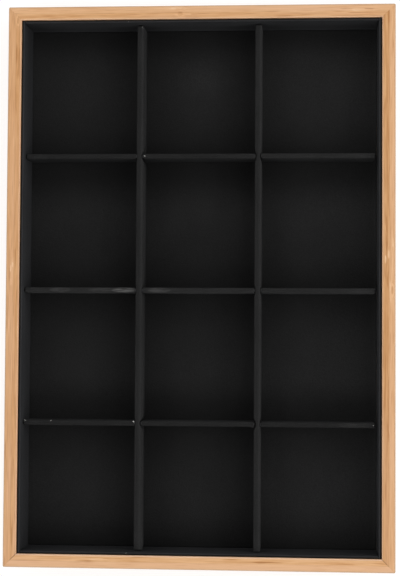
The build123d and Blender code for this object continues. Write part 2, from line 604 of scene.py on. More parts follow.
    def _mitre(self, run: Value, depth: Value, wear: Value) -> Value:
        """Draws the glued mitres, which stand open towards the inside.

        Args:
            run, depth: the place.
            wear: the noise that breaks the line up.

        Returns:
            How dark the line is.
        """
        start = (run + self.half_run - depth).hump(self.joint_width) * self.start_joint
        end = (self.half_run - run - depth).hump(self.joint_width) * self.end_joint
        opening = depth.rise(2.8 * MM, 6.6 * MM) * 0.88 + 0.12
        return ((start + end) * opening * wear.rise(0.20, 0.55)).at_most(1.0)


@dataclass(frozen=True)
class Scuff:
    """A rubbed or frayed spot of velvet: its middle, half sizes and strength."""

    place: Place
    half_size: Place
    strength: float


@dataclass(frozen=True)
class Band:
    """A stretch across an axis of the tray (0, 1 or 2) where the velvet's colour is painted lighter or
    darker: painted light and shade.
    """

    axis: int
    middle: float
    half_width: float
    gain: float


@dataclass(frozen=True)
class Velvet:
    """Black velvet: short pile with its nap brushed in patches and strands and rubbed in spots, with painted
    light and shade in bands.
    """

    name: str
    tone: float
    nap: float = 0.35
    bands: tuple[Band, ...] = ()
    scuffs: tuple[Scuff, ...] = ()
    hue: Colour = WHITE
    strands: Place = (1500.0, 1500.0, 1500.0)
    combing: float = 0.0
    patches: Place = (38.0, 26.0, 60.0)
    tufts: Place = (1500.0, 1500.0, 1500.0)
    hairs: Place = (4200.0, 4200.0, 4200.0)
    tuft_share: float = 0.9
    hair_share: float = 0.5
    rubbed: Colour = (0.116, 0.115, 0.113)
    roughness: float = 0.92
    sheen: float = 0.012
    sheen_tint: Colour = (0.92, 0.95, 1.0)
    relief: float = 0.22 * MM

    def material(self) -> Material:
        """Makes the material.

        Returns:
            The finished material.
        """
        surface = Surface(self.name)
        graph = surface.graph
        brushed = graph.noise(surface.stretched(self.patches, len(self.name)), 2.0, 0.5)
        tuft = graph.noise(surface.stretched(self.tufts), 2.0, 0.6)
        hair = graph.noise(surface.stretched(self.hairs), 1.0)
        combed = graph.noise(surface.stretched(self.strands, 2.0), 2.0, 0.55)
        level = 1.0 + brushed.swing(self.nap) + tuft.swing(self.tuft_share) + hair.swing(self.hair_share)
        level = level + combed.swing(self.combing)
        spot = graph.split(surface.spot)
        # Painted light and shade: each band makes the colour lighter or darker across one axis of the tray.
        for band in self.bands:
            level = level * (1.0 + spot[band.axis].bell(band.middle, band.half_width) * band.gain)
        colour = graph.tint(tuple(self.tone * part for part in self.hue), level)
        if self.scuffs:
            colour = graph.mix(self._rub(spot, combed), colour, self.rubbed)
        pile = {
            "Specular IOR Level": 0.03,
            "Sheen Weight": self.sheen,
            "Sheen Roughness": 0.45,
            "Sheen Tint": self.sheen_tint,
        }
        return surface.finish(colour, self.roughness, tuft * 0.6 + hair * 0.4, self.relief, pile)

    def _rub(self, spot: tuple[Value, Value, Value], combed: Value) -> Value:
        """Finds how far the pile is rubbed grey.

        Args:
            spot: the place.
            combed: the noise of the strands, which breaks the spots up.

        Returns:
            0 for pile that isn't rubbed, up to 1.
        """
        total = spot[0] * 0.0
        for scuff in self.scuffs:
            inside = 1.0
            for part, middle, half in zip(spot, scuff.place, scuff.half_size):
                off = (part - middle) / half
                inside = inside - off * off
            total = total + inside.at_least(0.0).root() * scuff.strength
        return (total * (combed.rise(0.34, 0.58) * 0.8 + 0.2)).at_most(1.0)


@dataclass(frozen=True)
class Board:
    """Boards, felt, wire and lint: a plain tone with fibres, specks and a matt face."""

    name: str
    colour: Colour
    contrast: float = 0.4
    roughness: float = 0.85
    metallic: float = 0.0
    grain: Place = (400.0, 400.0, 400.0)
    specks: Place = (2600.0, 2600.0, 2600.0)
    relief: float = 0.06 * MM

    def material(self) -> Material:
        """Makes the material.

        Returns:
            The finished material.
        """
        surface = Surface(self.name)
        graph = surface.graph
        fibres = graph.noise(surface.stretched(self.grain), 3.0, 0.6)
        specks = graph.noise(surface.stretched(self.specks, 4.0), 1.0)
        level = 1.0 + fibres.swing(self.contrast) + specks.swing(self.contrast) * 0.6
        roughness = self.roughness + fibres.swing(0.15)
        fixed = {"Metallic": self.metallic}
        return surface.finish(graph.tint(self.colour, level), roughness, fibres, self.relief, fixed)


@dataclass(frozen=True)
class Lap:
    """A slot in a cover where another divider crosses.

    The crossing divider draws the velvet in from the left and the right, and the end of the part before
    the slot may be pushed aside to the right.
    """

    place: float = FAR
    left_pinch: float = 0.0
    right_pinch: float = 0.0
    push: float = 0.0


@dataclass(frozen=True)
class Wrap:
    """Velvet folded over a standing board, along X, with its middle at X = Y = 0 and its foot at Z = 0.

    Left is towards +Y. A swell is loose velvet on the right that grows towards the low end, a belly is the
    same at mid height, a slump lowers the left edge of the top, and a turnover is how far the velvet comes
    down behind the board. Each field is an input of the tree, by its name in title case.
    """

    length: float
    thickness: float
    height: float
    fold_radius: float
    steps_along: int
    steps_across: int
    steps_up: int
    fold_steps: int = 4
    turnover: float = FAR
    laps: tuple[Lap, ...] = ()
    lap_width: float = 0.0
    lap_level: float = 0.0
    laps_open_up: float = 0.0
    shoulder: float = 0.05 * MM
    pinch_length: float = 9.0 * MM
    swell: float = 0.0
    belly: float = 0.0
    slump: float = 0.0
    plumpness: float = 0.0
    ripple: float = 0.0
    ripple_size: float = 25.0 * MM
    open_foot: float = 1.0
    seed: float = 0.0

    @property
    def flat(self) -> Span:
        """Width and length of the cloth before it is folded over the board."""
        back = min(self.turnover, self.height)
        return self.height + self.thickness + back, self.length + self.thickness

    def sockets(self) -> dict[str, float]:
        """Fills in the tree's inputs.

        Returns:
            The values by the inputs' names, with those of the laps numbered.
        """
        names = [field.name for field in fields(self) if field.name != "laps"]
        values = {titled(name): getattr(self, name) for name in names}
        for number in LAP_NUMBERS:
            lap = self.laps[number] if number < len(self.laps) else Lap()
            for field in fields(lap):
                values[f"{titled(field.name)} {number}"] = getattr(lap, field.name)
        return values


def titled(name: str) -> str:
    """A field's name as the name of a tree's input."""
    return name.replace("_", " ").title()


class GeometryTree:
    """A Geometry Nodes tree with named inputs that is made once and run for each piece."""

    whole_numbers: tuple[str, ...] = ()

    def __init__(self, name: str, labels: list[str]) -> None:
        """Starts the tree.

        Args:
            name: the tree's name.
            labels: names of its inputs, which are numbers.
        """
        self.tree = bpy.data.node_groups.new(name, "GeometryNodeTree")
        self.graph = Graph(self.tree)
        kinds = {label: "Int" if label in self.whole_numbers else "Float" for label in labels}
        for label, kind in {"Geometry": "Geometry", **kinds, "Finish": "Material"}.items():
            self.tree.interface.new_socket(label, in_out="INPUT", socket_type=f"NodeSocket{kind}")
        self.tree.interface.new_socket("Geometry", in_out="OUTPUT", socket_type="NodeSocketGeometry")
        self.entry = self.graph.add("NodeGroupInput")

    def input(self, label: str) -> Value:
        """One of the tree's inputs."""
        return Value(self.graph, self.entry.outputs[label])

    def inputs(self, *labels: str) -> list[Value]:
        """Several of the tree's inputs."""
        return [self.input(label) for label in labels]

    def close(self, geometry: Socket) -> None:
        """Ends the tree in real geometry with its finish.

        Args:
            geometry: what the tree has made.
        """
        smooth = self.graph.add("GeometryNodeSetShadeSmooth", None, {0: geometry}).outputs[0]
        real = self.graph.add("GeometryNodeRealizeInstances", None, {0: smooth}).outputs[0]
        sockets = {"Geometry": real, "Material": self.entry.outputs["Finish"]}
        dressed = self.graph.add("GeometryNodeSetMaterial", None, sockets).outputs[0]
        self.graph.add("NodeGroupOutput", None, {0: dressed})

    def run(
        self, name: str, start: bpy.types.Mesh, sockets: dict[str, float], material: Material
    ) -> bpy.types.Object:
        """Makes one piece.

        Args:
            name: the piece's name.
            start: the mesh that goes in.
            sockets: values of the inputs by name.
            material: the piece's finish.

        Returns:
            An object with a plain mesh.
        """
        piece = stand(name, start)
        modifier = piece.modifiers.new("make", "NODES")
        modifier.node_group = self.tree
        for item in self.tree.interface.items_tree:
            if item.in_out == "INPUT" and item.name in sockets:
                modifier[item.identifier] = sockets[item.name]
            elif item.name == "Finish":
                modifier[item.identifier] = material
        settle(piece)
        return piece


def stand(name: str, data: bpy.types.ID) -> bpy.types.Object:
    """Makes an object and puts it in the scene.

    Args:
        name: its name.
        data: its mesh, light or camera.

    Returns:
        The object.
    """
    thing = bpy.data.objects.new(name, data)
    bpy.context.scene.collection.objects.link(thing)
    return thing


def settle(piece: bpy.types.Object) -> None:
    """Turns a piece's modifiers into its plain mesh.

    Args:
        piece: the piece.
    """
    bpy.context.view_layer.update()
    graph = bpy.context.evaluated_depsgraph_get()
    mesh = bpy.data.meshes.new_from_object(piece.evaluated_get(graph), depsgraph=graph)
    piece.modifiers.clear()
    spent = piece.data
    piece.data = mesh
    mesh.name = piece.name
    if spent.users == 0:
        bpy.data.meshes.remove(spent)


def thicken(piece: bpy.types.Object, thickness: float) -> None:
    """Gives a sheet its thickness on the inside, with closed rims.

    Args:
        piece: the sheet.
        thickness: its thickness.
    """
    modifier = piece.modifiers.new("thickness", "SOLIDIFY")
    modifier.thickness = thickness
    modifier.offset = -1.0
    modifier.use_even_offset = False
    modifier.use_rim = True
    settle(piece)


def dress(node: str, material: Material) -> None:
    """Gives a CAD node its finish.

    Args:
        node: the node's name.
        material: the finish.
    """
    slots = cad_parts[node].data.materials
    slots.clear()
    slots.append(material)
    LOG.info("%s dressed", node)


def lay(
    sheet: bpy.types.Object, body: str, node: str, flat: Span, held: str, board: str
) -> None:
    """Says of a sheet what it is.

    Args:
        sheet: the sheet.
        body: the body that it rides on.
        node: the CAD node that it stands for.
        flat: its flat size; not used.
        held: how it is held.
        board: the CAD node that it rests on.
    """
    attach(sheet, body)
    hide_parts(node)
    LOG.info("%s %s on %s, %d faces", sheet.name, held, board, len(sheet.data.polygons))


def size_of(node: str) -> tuple[Vector, Vector]:
    """Middle of a CAD node's foot, and its size."""
    low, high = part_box(node)
    return Vector(((low.x + high.x) / 2, (low.y + high.y) / 2, low.z)), high - low


class WrapTree(GeometryTree):
    """Velvet folded over a board: a block of steps, bent round the folds, slotted, drawn in and swollen."""

    whole_numbers = ("Fold Steps", "Steps Along", "Steps Across", "Steps Up")
    snap_along = 0.5
    snap_up = 0.66
    least_size = 1e-7
    foot = 1e-5
    belly_place = 0.22
    belly_reach = 0.45
    push_reach = 1.4
    push_power = 3.0
    push_loss = 0.6
    slump_power = 12.0
    drop_power = 8.0
    dip_power = 6.0
    dip_share = 0.12

    def __init__(self) -> None:
        """Builds the tree."""
        super().__init__("velvet_wrap", list(Wrap(1.0, 1.0, 1.0, 1.0, 1, 1, 1).sockets()))
        graph = self.graph
        along, across, up = (value + 1.0 for value in self.inputs("Steps Along", "Steps Across", "Steps Up"))
        sockets = {"Size": WHITE, "Vertices X": along, "Vertices Y": across, "Vertices Z": up}
        block = graph.add("GeometryNodeMeshCube", None, sockets).outputs[0]
        bent = self._moved(block, self._folded)
        settings = {"domain": "FACE", "mode": "ALL"}
        sockets = {"Geometry": bent, "Selection": self._cut_away(*self._spot())}
        cut = graph.add("GeometryNodeDeleteGeometry", settings, sockets).outputs[0]
        self.close(self._moved(cut, self._softened))

    def _spot(self) -> tuple[Value, Value, Value]:
        """Where a point is."""
        return self.graph.split(self.graph.add("GeometryNodeInputPosition").outputs[0])

    def _moved(
        self, geometry: Socket, rule: Callable[[Value, Value, Value], Socket]
    ) -> Socket:
        """The geometry with its points moved by a rule."""
        sockets = {"Geometry": geometry, "Position": rule(*self._spot())}
        return self.graph.add("GeometryNodeSetPosition", None, sockets).outputs[0]

    def _spread(self, share: Value, label: str, half: Value, folds: float) -> Value:
        """Lays out even steps on the flat and steps of equal angle round the fold.

        Args:
            share: how far along the steps, from 0 to 1.
            label: the input that counts the steps.
            half: the size that the steps cover.
            folds: how many folds share the count.

        Returns:
            How far along the size.
        """
        radius = self.input("Fold Radius")
        split = 1.0 - self.input("Fold Steps") * folds / self.input(label)
        over = (share - split).at_least(0.0) / (1.0 - split)
        flat = (share / split).at_most(1.0) * (half - radius)
        return flat + radius * (over * (math.pi / 4)).tangent()

    def _snapped(self, value: Value, edge: Value, room: Value) -> Value:
        """The value, moved to an edge that is near it."""
        return value + (abs(value - edge) < room) * (edge - value)

    def _folded(self, x: Value, y: Value, z: Value) -> Socket:
        """Folds a unit block.

        Args:
            x, y, z: the place of a point of the block.

        Returns:
            Its place on the folded velvet.
        """
        length, thickness, height, radius = self.inputs("Length", "Thickness", "Height", "Fold Radius")
        along = self._spread(abs(x) * 2.0, "Steps Along", length * 0.5, 2.0) * x.sign()
        across = self._spread(abs(y) * 2.0, "Steps Across", thickness * 0.5, 2.0) * y.sign()
        up = self._spread(z + 0.5, "Steps Up", height, 1.0)
        along_room = length / self.input("Steps Along") * self.snap_along
        up_room = height / self.input("Steps Up") * self.snap_up
        half_lap = self.input("Lap Width") * 0.5
        for number in LAP_NUMBERS:
            lap = self.input(f"Place {number}")
            along = self._snapped(along, lap - half_lap, along_room)
            along = self._snapped(along, lap + half_lap, along_room)
        up = self._snapped(up, self.input("Lap Level"), up_room)
        behind = height - self.input("Turnover")
        up = up + (across > 0.0) * (self._snapped(up, behind, up_room) - up)
        end = length * 0.5 - radius
        side = thickness * 0.5 - radius
        inner = (
            along.at_most(end).at_least(-end),
            across.at_most(side).at_least(-side),
            up.at_most(height - radius),
        )
        off = [outer - core for outer, core in zip((along, across, up), inner)]
        size = (off[0] * off[0] + off[1] * off[1] + off[2] * off[2]).root().at_least(self.least_size)
        pull = radius / size
        return self.graph.join(*(core + part * pull for core, part in zip(inner, off)))

    def _cut_away(self, x: Value, y: Value, z: Value) -> Value:
        """Chooses the faces to cut away.

        Args:
            x, y, z: the place of a face.

        Returns:
            More than 0 for the open foot, the laps and what is below the turnover.
        """
        level, opens_up, height = self.inputs("Lap Level", "Laps Open Up", "Height")
        half_lap = self.input("Lap Width") * 0.5
        in_lap = x * 0.0
        for number in LAP_NUMBERS:
            in_lap = in_lap + (abs(x - self.input(f"Place {number}")) < half_lap)
        open_side = opens_up * (z > level) + (1.0 - opens_up) * (z < level)
        foot = (z < self.foot) * self.input("Open Foot")
        bare = (y > 0.0) * (z < height - self.input("Turnover"))
        return in_lap * open_side + foot + bare

    def _softened(self, x: Value, y: Value, z: Value) -> Socket:
        """Gives the velvet its pinches, swell, belly, slump, shoulders and ripples.

        Args:
            x, y, z: the place of a point of the folded velvet.

        Returns:
            Its place on the soft velvet.
        """
        graph = self.graph
        length, thickness, height, seed = self.inputs("Length", "Thickness", "Height", "Seed")
        rise = z / height
        left, right, waist, push, drop = self._at_laps(x)
        squeeze = 1.0 - (left * (y > 0.0) + right * (y < 0.0)) / (thickness * 0.5)
        swell = self.input("Swell") * (0.5 - x / length) * rise * rise
        belly = self.input("Belly") * rise.bell(self.belly_place, self.belly_reach)
        loose = (swell + belly) * (1.0 - waist) / (thickness * 0.5)
        swollen = 1.0 + (y < 0.0) * loose
        size = self.input("Ripple Size")
        ripple = self.input("Ripple") * rise.at_most(1.0)
        wave = graph.noise(graph.join(x / size + seed, y / size, z / size), 2.0) - 0.5
        tuck = graph.noise(graph.join(x / size - seed, y / size + 7.0, z / size), 2.0) - 0.5
        aside = push * (rise ** self.push_power) * (1.0 - (y > 0.0) * self.push_loss)
        side = y * squeeze * swollen * (1.0 + self.input("Plumpness")) + wave * ripple * 2.0 - aside
        slumped = self.input("Slump") * ((y / thickness + 0.5) ** 2.0) * (rise ** self.slump_power)
        lid = drop * (rise ** self.drop_power) * self.input("Laps Open Up")
        dip = (left + right) * (rise ** self.dip_power) * self.dip_share
        return graph.join(x, side, z - lid - slumped + tuck * ripple - dip)

    def _at_laps(self, x: Value) -> tuple[Value, Value, Value, Value, Value]:
        """Finds what the laps do at a place along the cover.

        Args:
            x: the place.

        Returns:
            The pinch from the left and from the right, how far the place is inside a pinch, from 0 to 1, the
            push aside, and the drop of the shoulder beside an open lap.
        """
        half_lap = self.input("Lap Width") * 0.5
        half_pinch = self.input("Pinch Length") * 0.5
        shoulder = self.input("Shoulder")
        left = right = waist = push = drop = x * 0.0
        for number in LAP_NUMBERS:
            off = x - self.input(f"Place {number}")
            hump = off.hump(half_pinch)
            waist = waist + hump
            left = left + hump * self.input(f"Left Pinch {number}")
            right = right + hump * self.input(f"Right Pinch {number}")
            push = push + off.hump(half_pinch * self.push_reach) * (off < 0.0) * self.input(f"Push {number}")
            near = shoulder - (abs(off) - half_lap).at_least(0.0).at_most(shoulder)
            drop = drop + shoulder - (shoulder * shoulder - near * near).at_least(0.0).root()
        return left, right, waist, push, drop

    def make(self, name: str, wrap: Wrap, place: Matrix, finish: Union[Velvet, Board]) -> bpy.types.Object:
        """Makes one folded piece of cloth at its place.

        Args:
            name: the piece's name.
            wrap: its sizes.
            place: where its middle and foot go.
            finish: its finish.

        Returns:
            The piece.
        """
        piece = self.run(name, bpy.data.meshes.new(name), wrap.sockets(), finish.material())
        piece.data.transform(place)
        return piece


class LintTree(GeometryTree):
    """Lint: one curled fibre on each point, turned and sized by its own draw."""

    whole_numbers = ("Seed",)
    arc_steps = 10
    ring_steps = 6
    least_scale = (0.6, 0.5, 0.9)
    most_scale = (1.1, 1.2, 1.1)

    def __init__(self) -> None:
        """Builds the tree."""
        labels = ("Length", "Thickness", "Curl", "Tilt", "Seed")
        super().__init__("lint_fibres", list(labels))
        graph = self.graph
        length, thickness, curl, tilt, seed = self.inputs(*labels)
        sockets = {"Resolution": self.arc_steps, "Radius": length / curl, "Sweep Angle": curl}
        sockets["Start Angle"] = curl * -0.5
        arc = graph.add("GeometryNodeCurveArc", {"mode": "RADIUS"}, sockets).outputs[0]
        shift = graph.join(-(length / curl), 0.0, 0.0)
        middled = graph.add("GeometryNodeTransform", None, {"Geometry": arc, "Translation": shift}).outputs[0]
        sockets = {"Resolution": self.ring_steps, "Radius": thickness * 0.5}
        ring = graph.add("GeometryNodeCurvePrimitiveCircle", {"mode": "RADIUS"}, sockets).outputs[0]
        sockets = {"Curve": middled, "Profile Curve": ring, "Fill Caps": True}
        fibre = graph.add("GeometryNodeCurveToMesh", None, sockets).outputs[0]
        turns = self._draw(seed, (-tilt, -tilt, 0.0), (tilt, tilt, 2.0 * math.pi))
        scales = self._draw(seed + 1.0, self.least_scale, self.most_scale)
        points = self.entry.outputs["Geometry"]
        sockets = {"Points": points, "Instance": fibre, "Rotation": turns, "Scale": scales}
        self.close(graph.add("GeometryNodeInstanceOnPoints", None, sockets).outputs[0])

    def _draw(self, seed: Value, low: tuple[Operand, ...], high: tuple[Operand, ...]) -> Socket:
        """A vector drawn for each point, part by part between two vectors."""
        ends = {0: self.graph.join(*low), 1: self.graph.join(*high), "Seed": seed}
        return self.graph.add("FunctionNodeRandomValue", {"data_type": "FLOAT_VECTOR"}, ends).outputs[0]


@dataclass
class Rails:
    """The four bamboo rails, with the keys across their mitres."""

    corners: tuple[str, ...] = ("front_left", "front_right", "back_left", "back_right")

    def build(self) -> None:
        """Dresses the rails and keys."""
        for bamboo in self._finishes():
            material = bamboo.material()
            dress(f"rail_{bamboo.side.word}", material)
        for corner in self.corners:
            dress(f"mitre_key_{corner}", material)

    def _finishes(self) -> list[Bamboo]:
        """Gives each rail its own strips and nodes.

        Returns:
            The four finishes.
        """
        wide, long, top = CAD_BOX[1]
        thickness = size_of("rail_left")[1].x
        across = (wide, long, thickness, top)
        along = (long, wide, thickness, top)
        back = self._swirls(
            (-12.7, 5.2, 2.4, 2.2, 0.0, 1.1),
            (-13.2, 1.6, 2.4, 0.9, 0.0, -0.8),
            (-17.5, 1.7, 3.4, 0.8, 0.0, -1.3),
            (-7.5, 5.6, 2.6, 0.7, 0.0, -0.8),
            (97.3, 3.9, 5.0, 1.0, 0.0, -1.8),
            (90.6, 3.0, 5.5, 0.7, 0.0, 2.0),
            (104.3, 3.2, 4.0, 0.7, 0.0, 2.2),
            (96.0, 5.6, 6.0, 0.7, 0.0, 1.2),
            (64.0, 4.2, 9.0, 0.6, 0.0, 0.9),
        )
        left = self._swirls(
            (12.6, 4.2, 2.3, 0.7, 0.0, -2.0),
            (10.4, 3.0, 3.0, 0.7, 0.0, -1.9),
            (2.0, 3.3, 3.0, 0.6, 0.0, -0.9),
            (7.0, 2.2, 6.0, 0.6, 0.0, 1.1),
            (166.5, 6.0, 3.0, 1.0, 0.7, 1.0),
            (-18.0, 2.4, 8.0, 0.6, 0.0, 0.9),
        )
        front = self._swirls(
            (55.0, 6.4, 7.0, 0.5, 0.0, 1.2),
            (62.0, 5.6, 8.0, 0.5, 0.0, -1.2),
            (70.0, 4.9, 6.5, 0.5, 0.0, 1.1),
            (76.0, 3.6, 7.0, 0.5, 0.0, 0.9),
            (48.0, 4.8, 6.0, 0.5, 0.0, 0.8),
            (-40.0, 5.2, 9.0, 0.5, 0.0, 0.6),
        )
        right = self._swirls(
            (2.6, 2.2, 3.7, 1.2, 1.7, 0.9),
            (0.4, 3.5, 4.2, 0.55, 0.0, -2.3),
            (13.0, 3.0, 6.0, 0.6, 0.0, 0.9),
            (-7.6, 2.2, 4.5, 0.5, 0.0, 0.9),
            (-19.6, 4.3, 4.0, 0.7, 0.0, -1.4),
            (-16.4, 6.2, 3.6, 0.7, 0.0, -2.3),
            (-24.0, 3.4, 6.0, 0.5, 0.0, 0.9),
            (-26.8, 1.7, 4.0, 0.6, 0.0, -1.8),
            (-28.0, 5.6, 5.0, 0.6, 0.0, 0.9),
        )
        return [
            Bamboo(
                Side.BACK, *across, swirls=back, seed=11, seam=4.3 * MM, outer_tone=0.16, inner_tone=0.06,
                outer_blush=0.30, start_joint=0.15, end_joint=0.15, edge_shine=0.50,
            ),
            Bamboo(
                Side.LEFT, *along, swirls=left, seed=23, seam=4.6 * MM, outer_tone=-0.01, inner_tone=-0.06,
                outer_blush=0.25, start_joint=0.95, end_joint=0.12, edge_shine=0.40,
            ),
            Bamboo(
                Side.FRONT, *across, swirls=front, seed=37, seam=4.2 * MM, outer_tone=0.28, inner_tone=0.17,
                outer_blush=0.55, start_joint=0.75, end_joint=0.95, edge_shine=0.85,
            ),
            Bamboo(
                Side.RIGHT, *along, swirls=right, seed=41, seam=3.9 * MM, outer_tone=0.12, inner_tone=-0.14,
                outer_blush=0.30, start_joint=0.15, end_joint=0.75, edge_shine=0.45,
            ),
        ]

    def _swirls(self, *rows: tuple[float, float, float, float, float, float]) -> tuple[Swirl, ...]:
        """Swirls from rows of run, depth and two half sizes in mm, and the strengths of rim and heart."""
        return tuple(Swirl(*(part * MM for part in row[:4]), *row[4:]) for row in rows)


@dataclass
class Base:
    """The base panel, its staples, the felt under it and the boards inside the linings."""

    wraps: WrapTree
    felt_fold: float = 0.35 * MM
    felt_steps: tuple[int, int, int] = (110, 76, 6)
    felt_ripple: float = 0.05 * MM
    felt_ripple_size: float = 9.0 * MM
    felt_colour: Colour = (0.019, 0.019, 0.020)
    plywood_colour: Colour = (0.46, 0.31, 0.18)
    board_colour: Colour = (0.28, 0.26, 0.24)
    wire_colour: Colour = (0.55, 0.55, 0.56)

    def build(self) -> None:
        """Dresses the hidden boards and lays the felt."""
        plywood = Board("plywood", self.plywood_colour, 0.5, 0.7, grain=(60.0, 900.0, 900.0))
        wire = Board("staple_wire", self.wire_colour, 0.15, 0.32, metallic=1.0)
        greyboard = Board("greyboard", self.board_colour).material()
        dress("base_panel", plywood.material())
        dress("base_staples", wire.material())
        for node in ("floor_board", *(f"wall_board_{side.word}" for side in Side)):
            dress(node, greyboard)
        self._lay_felt()

    def _lay_felt(self) -> None:
        """Makes the felt sheet with its softened edges."""
        foot, size = size_of("underside_felt")
        wrap = Wrap(
            size.y, size.x, size.z, self.felt_fold, *self.felt_steps, fold_steps=2, ripple=self.felt_ripple,
            ripple_size=self.felt_ripple_size, open_foot=0.0, seed=3.0,
        )
        felt = Board("felt", self.felt_colour, 0.7, 0.95, grain=(900.0, 900.0, 900.0))
        sheet = self.wraps.make("felt_sheet", wrap, Matrix.Translation(foot) @ Side.LEFT.turn, felt)
        lay(sheet, "tray", "underside_felt", (size.x, size.y), "laid", "base_panel")


@dataclass
class Linings:
    """Velvet on the four walls, folded over their boards, and on the floor."""

    wraps: WrapTree
    cloth: float = 0.45 * MM
    wall_fold: float = 0.55 * MM
    wall_step: float = 1.6 * MM
    wall_steps: tuple[int, int] = (10, 20)
    wall_slump: float = 0.8 * MM
    wall_ripple: float = 0.10 * MM
    wall_ripple_size: float = 28.0 * MM
    left_belly: float = 0.9 * MM
    turnover: float = 9.0 * MM
    wall_hue: Colour = (0.98, 0.99, 1.04)
    floor_tone: float = 0.0217
    floor_fold: float = 0.25 * MM
    floor_steps: tuple[int, int, int] = (130, 90, 5)
    floor_ripple: float = 0.14 * MM
    floor_ripple_size: float = 45.0 * MM
    patch_place: Place = (1.0 * MM, 133.5 * MM, 5.0 * MM)

    def build(self) -> None:
        """Makes the five pieces of lining."""
        for side in Side:
            self._line_wall(side)
        self._line_floor()

    def _wall_velvet(self, side: Side) -> Velvet:
        """Finishes one wall's lining.

        Args:
            side: the wall's side.

        Returns:
            Velvet with the wall's own tone, and its foot, middle and outer edge of the fold painted lighter
            or darker, with a painted highlight on the fold's crest: painted light and shade for this side.
        """
        # Painted light and shade for each side: the tone, and the gains that make the foot, the middle height
        # and the fold's outer edge lighter or darker, follow how the light falls on that wall.
        tone, foot, middle, axis, edge, edge_width, edge_gain = {
            Side.BACK: (0.0201, 0.55, 0.0, 1, 168.0 * MM, 1.0 * MM, 0.0),
            Side.LEFT: (0.0245, -0.08, -0.12, 0, -112.4 * MM, 1.3 * MM, -0.18),
            Side.FRONT: (0.0186, 0.45, 0.0, 1, -166.75 * MM, 0.9 * MM, -0.60),
            Side.RIGHT: (0.0245, 0.75, 0.0, 0, 113.0 * MM, 1.0 * MM, 0.0),
        }[side]
        bands = (
            # Painted highlight on the fold's crest; the other bands are the painted light and shade of this
            # side.
            Band(2, 31.0 * MM, 0.5 * MM, 0.45),
            Band(2, 5.5 * MM, 7.0 * MM, foot),
            Band(2, 15.0 * MM, 12.0 * MM, middle),
            Band(axis, edge, edge_width, edge_gain),
        )
        return Velvet(f"velvet_wall_{side.word}", tone, bands=bands, hue=self.wall_hue)

    def _floor_velvet(self) -> Velvet:
        """Finishes the floor.

        Returns:
            Velvet with painted shade along the dividers and the end walls and painted light at the right
            wall, with one faint lighter patch in the back middle compartment.
        """
        low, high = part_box("floor_velvet")
        left, right = (size_of(f"long_velvet_{name}")[0].x for name in LONGS)
        front, middle, back = (size_of(f"cross_velvet_{name}")[0].y for name in CROSSES)
        # Painted shade along the dividers and the end walls, and painted light at the side walls, most at the
        # right one: axis, line, offset and half width in mm, and gain.
        rows = (
            (0, low.x, 6.0, 22.0, 0.05),
            (0, left, -26.0, 46.0, -0.08),
            (0, left, 17.0, 41.0, -0.12),
            (0, left, -6.0, 14.0, -0.08),
            (0, right, -6.0, 9.0, -0.16),
            (0, high.x, 0.0, 4.0, 0.25),
            (0, right, -26.0, 41.0, -0.07),
            (0, right, 17.0, 43.0, 0.02),
            (0, high.x, -14.0, 25.0, 0.22),
            (1, low.y, -10.0, 30.0, -0.44),
            (1, front, -15.0, 36.0, -0.11),
            (1, front, 10.0, 20.0, -0.22),
            (1, middle, -25.0, 46.0, -0.14),
            (1, middle, 17.0, 46.0, -0.19),
            (1, back, -11.0, 26.0, -0.26),
            (1, back, 15.0, 39.0, -0.11),
            (1, high.y, -3.0, 15.0, -0.27),
        )
        bands = tuple(Band(axis, at + off * MM, half * MM, gain) for axis, at, off, half, gain in rows)
        # A faint lighter patch in the middle of the back middle compartment.
        patch = (
            Scuff(self.patch_place, (19.0 * MM, 14.0 * MM, 20.0 * MM), 0.045),
            Scuff(self.patch_place, (11.0 * MM, 8.0 * MM, 20.0 * MM), 0.030),
        )
        return Velvet("velvet_floor", self.floor_tone, nap=0.3, bands=bands, scuffs=patch)

    def _line_wall(self, side: Side) -> None:
        """Folds velvet over one wall board.

        Args:
            side: the wall's side.
        """
        node = f"wall_velvet_{side.word}"
        foot, size = size_of(node)
        length, thickness = max(size.x, size.y), min(size.x, size.y)
        wrap = Wrap(
            length, thickness, size.z, self.wall_fold, round(length / self.wall_step), *self.wall_steps,
            turnover=self.turnover, slump=self.wall_slump, ripple=self.wall_ripple,
            ripple_size=self.wall_ripple_size, belly=self.left_belly if side is Side.LEFT else 0.0,
            seed=5.0 + side.value,
        )
        place = Matrix.Translation(foot) @ side.turn
        lining = self.wraps.make(f"lining_{side.word}", wrap, place, self._wall_velvet(side))
        thicken(lining, self.cloth)
        lay(lining, "tray", node, wrap.flat, "folded", f"wall_board_{side.word}")

    def _line_floor(self) -> None:
        """Lays the velvet of the floor over its board."""
        foot, size = size_of("floor_velvet")
        wrap = Wrap(
            size.y, size.x, size.z, self.floor_fold, *self.floor_steps, fold_steps=3,
            ripple=self.floor_ripple, ripple_size=self.floor_ripple_size, seed=9.0,
        )
        place = Matrix.Translation(foot) @ Side.LEFT.turn
        lining = self.wraps.make("lining_floor", wrap, place, self._floor_velvet())
        thicken(lining, self.cloth)
        lay(lining, "tray", "floor_velvet", (size.x + size.z, size.y + size.z), "stretched", "floor_board")


